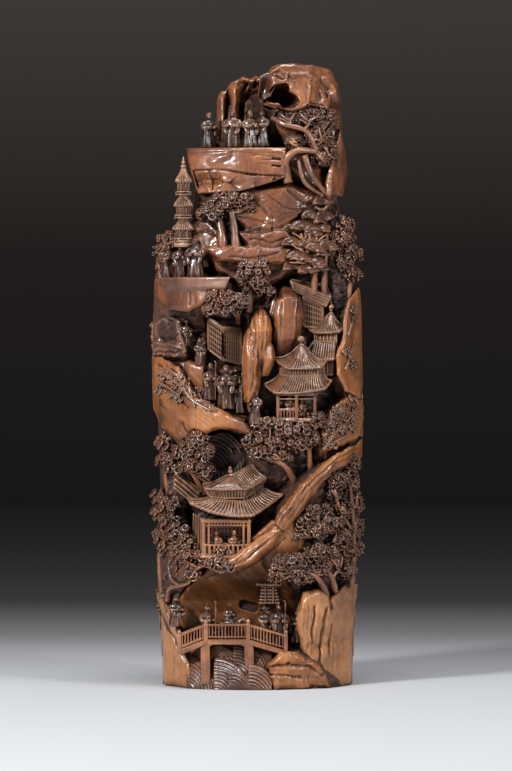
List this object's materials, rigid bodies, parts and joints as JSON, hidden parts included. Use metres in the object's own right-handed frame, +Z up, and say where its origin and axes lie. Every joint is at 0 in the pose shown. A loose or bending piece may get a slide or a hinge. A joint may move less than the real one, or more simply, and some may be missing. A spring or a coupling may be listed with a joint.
{
  "type": "bamboo mountain carving",
  "caption": "Upright section of hollow bamboo culm carved in high relief as a cliff with a bridge over waves, pavilions, a pagoda, pines and small robed figures.",
  "frame": {"origin": "centre of the foot, on the flat face that it rests on", "axes": "+Z up along the culm, the carved front faces -Y, +X to the right of a viewer who faces the front"},
  "size_m": [0.1369, 0.1135, 0.4],
  "materials": {
    "polished_bamboo_skin": "hand-polished golden brown outer layer, semi-gloss",
    "carved_bamboo": "carved and waxed dark brown, semi-gloss",
    "shaded_bamboo": "undercut dark brown to black brown, satin"
  },
  "bodies": {
    "root": {"culm_wall": "carved_bamboo", "left_bank": "polished_bamboo_skin", "right_tall_rock": "polished_bamboo_skin", "foreground_rock": "polished_bamboo_skin", "river_waves": "carved_bamboo", "left_cliff_path": "polished_bamboo_skin", "diagonal_path": "polished_bamboo_skin", "right_strip": "polished_bamboo_skin", "right_cliff": "polished_bamboo_skin", "hollow_slope": "polished_bamboo_skin", "left_grotto": "polished_bamboo_skin", "balcony_ledge": "polished_bamboo_skin", "upper_slope": "polished_bamboo_skin", "cave_cascade": "shaded_bamboo", "summit_terrace": "polished_bamboo_skin", "summit_rock": "polished_bamboo_skin", "left_peaks": "polished_bamboo_skin", "front_boulder": "polished_bamboo_skin", "back_boulder": "polished_bamboo_skin", "hall_frame": "carved_bamboo", "hall_lower_roof": "carved_bamboo", "hall_upper_roof": "carved_bamboo", "kiosk_frame": "carved_bamboo", "kiosk_lower_roof": "carved_bamboo", "kiosk_upper_roof": "carved_bamboo", "rear_kiosk": "carved_bamboo", "pagoda": "carved_bamboo", "covered_way_roof": "carved_bamboo", "left_gallery_wall": "carved_bamboo", "right_gallery": "carved_bamboo", "bridge_deck": "carved_bamboo", "bridge_front_rail": "carved_bamboo", "mule_and_rider": "carved_bamboo", "terrace_sage_1": "carved_bamboo", "terrace_sage_2": "carved_bamboo", "terrace_sage_3": "carved_bamboo", "balcony_guest_1": "carved_bamboo", "balcony_guest_2": "carved_bamboo", "balcony_guest_3": "carved_bamboo", "path_traveller_1": "carved_bamboo", "path_traveller_2": "carved_bamboo", "path_traveller_3": "carved_bamboo", "path_traveller_4": "carved_bamboo", "path_traveller_5": "carved_bamboo", "bridge_porter": "carved_bamboo", "bridge_elder": "carved_bamboo", "summit_pine": "shaded_bamboo", "twin_trunk_tree": "shaded_bamboo", "left_edge_pine": "shaded_bamboo", "slender_tree": "shaded_bamboo", "ledge_pine": "shaded_bamboo", "right_grove": "shaded_bamboo", "far_right_tree": "shaded_bamboo", "left_thicket": "shaded_bamboo", "centre_thicket": "shaded_bamboo", "right_edge_pine": "shaded_bamboo", "right_mid_tree": "shaded_bamboo", "low_right_tree": "shaded_bamboo", "low_left_tree": "shaded_bamboo", "front_left_bough": "shaded_bamboo"}
  },
  "joints": []
}
